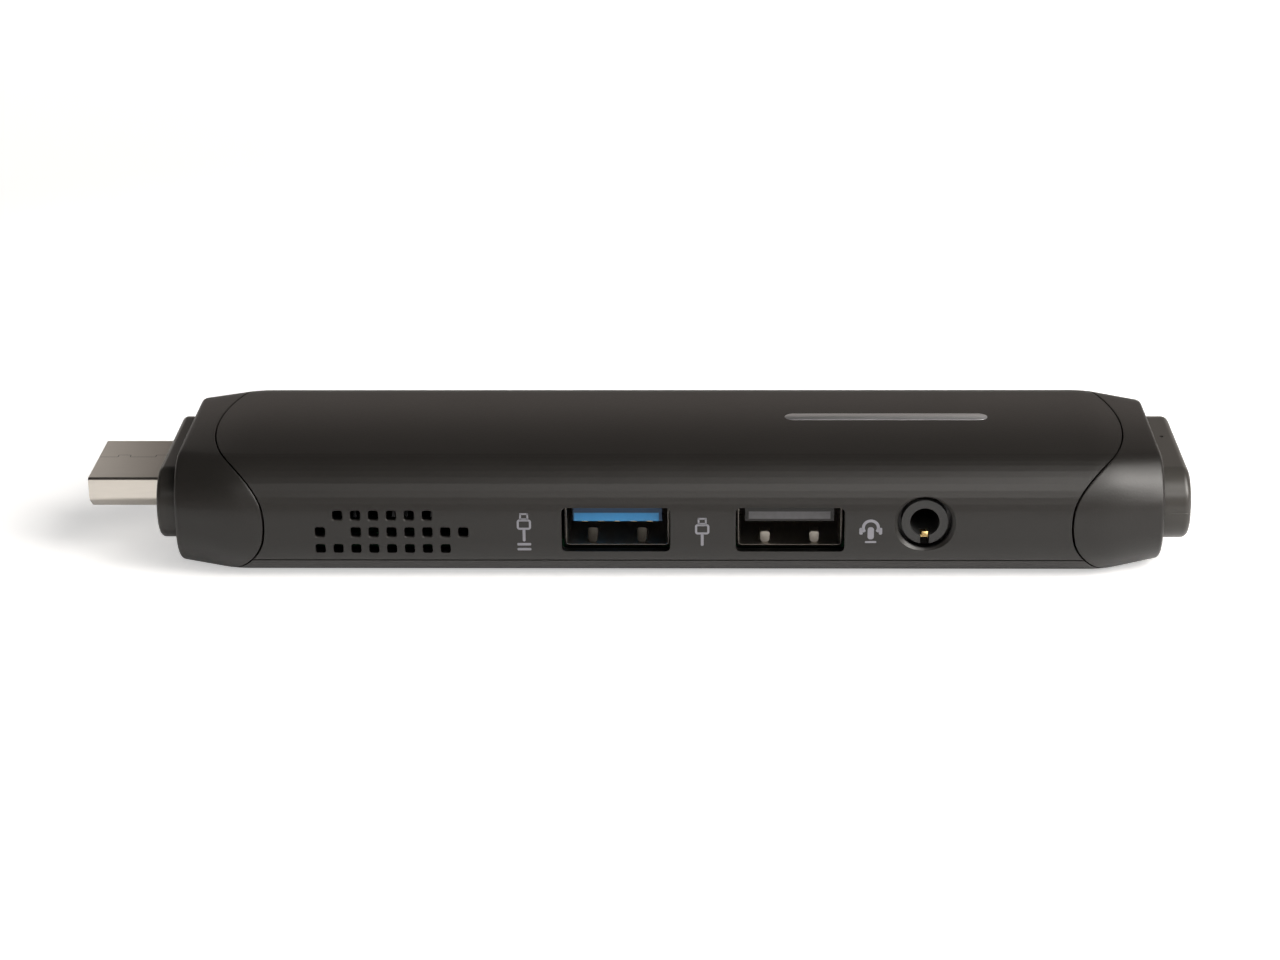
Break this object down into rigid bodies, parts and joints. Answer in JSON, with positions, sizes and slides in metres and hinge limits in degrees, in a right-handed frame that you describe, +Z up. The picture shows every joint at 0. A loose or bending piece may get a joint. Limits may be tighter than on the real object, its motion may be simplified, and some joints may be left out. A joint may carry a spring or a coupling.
{
  "type": "hdmi stick computer",
  "caption": "Slim stick computer with an HDMI plug on one end, two USB sockets, a headset jack, a vent grid and tapered end shrouds behind curved seams.",
  "frame": {"origin": "middle of the footprint, on the surface that the stick lies on", "axes": "+X from the HDMI plug to the tail, port side faces -Y, +Z up"},
  "size_m": [0.1378, 0.034, 0.015],
  "materials": {
    "casing": "fine satin texture, warm dark grey",
    "gloss_black": "smooth glossy black",
    "badge": "brushed, plain",
    "plug_steel": "nickel-plated sheet, faint brushing",
    "socket_steel": "plated sheet",
    "black_insulator": "moulded black",
    "blue_insulator": "moulded blue",
    "grey_insulator": "moulded grey",
    "contact_gold": "gold-plated spring strip",
    "light_pipe": "clear polycarbonate",
    "led_body": "white package",
    "board_green": "solder mask over copper tracks",
    "chip_black": "moulded package",
    "pad_grey": "soft silicone pad",
    "plate_aluminium": "stamped sheet",
    "fin_aluminium": "black anodised fins",
    "screw_steel": "black-zinc steel",
    "fan_plastic": "moulded black",
    "magnet_grey": "ring magnet",
    "coil_copper": "enamelled copper and iron",
    "can_steel": "tinned sheet can",
    "ceramic": "ceramic body",
    "antenna_film": "copper on film",
    "lead_grey": "thin coaxial lead"
  },
  "bodies": {
    "body": {"top_casing": "casing", "bottom_cover": "casing", "plug_end_shroud": "casing", "tail_end_shroud": "casing", "plug_collar": "gloss_black", "tail_block": "gloss_black", "badge_strip": "badge", "hdmi_plug_shell": "plug_steel", "hdmi_plug_insert": "black_insulator", "hdmi_plug_contacts": "contact_gold", "hdmi_plug_base": "black_insulator", "usb3_shell": "socket_steel", "usb3_tongue": "blue_insulator", "usb3_contacts": "contact_gold", "usb2_shell": "socket_steel", "usb2_tongue": "grey_insulator", "usb2_contacts": "contact_gold", "audio_jack_body": "black_insulator", "audio_jack_contacts": "contact_gold", "power_inlet_shell": "socket_steel", "power_inlet_tongue": "black_insulator", "power_inlet_contacts": "contact_gold", "power_switch": "black_insulator", "status_light_pipe": "light_pipe", "status_led": "led_body", "main_board": "board_green", "processor": "chip_black", "thermal_pad": "pad_grey", "heat_plate": "plate_aluminium", "plate_spacers": "plate_aluminium", "plate_screws": "screw_steel", "board_screws": "screw_steel", "fin_stack": "fin_aluminium", "fan_housing": "fan_plastic", "fan_cover": "fan_plastic", "fan_stator": "coil_copper", "memory_chips": "chip_black", "storage_chip": "chip_black", "firmware_chip": "chip_black", "power_chip": "chip_black", "audio_chip": "chip_black", "crystal": "can_steel", "power_coils": "chip_black", "capacitors": "ceramic", "wireless_module": "board_green", "wireless_shield": "can_steel", "antennas": "antenna_film", "antenna_leads": "lead_grey", "casing_screws": "screw_steel"},
    "button": {"power_button": "casing", "switch_plunger": "black_insulator"},
    "rotor": {"fan_rotor": "fan_plastic", "fan_magnet": "magnet_grey", "fan_shaft": "screw_steel"}
  },
  "joints": [
    {"name": "power_button_press", "type": "slide", "parent": "body", "child": "button", "axis": [0, -1, 0], "range_m": [0, 0.00035], "stiffness_N_per_m": 2500, "springref_m": -0.0001},
    {"name": "fan_spin", "type": "hinge", "parent": "body", "child": "rotor", "pos_m": [-0.0297, 0.002, 0.009], "axis": [0, 0, 1], "continuous": true}
  ]
}
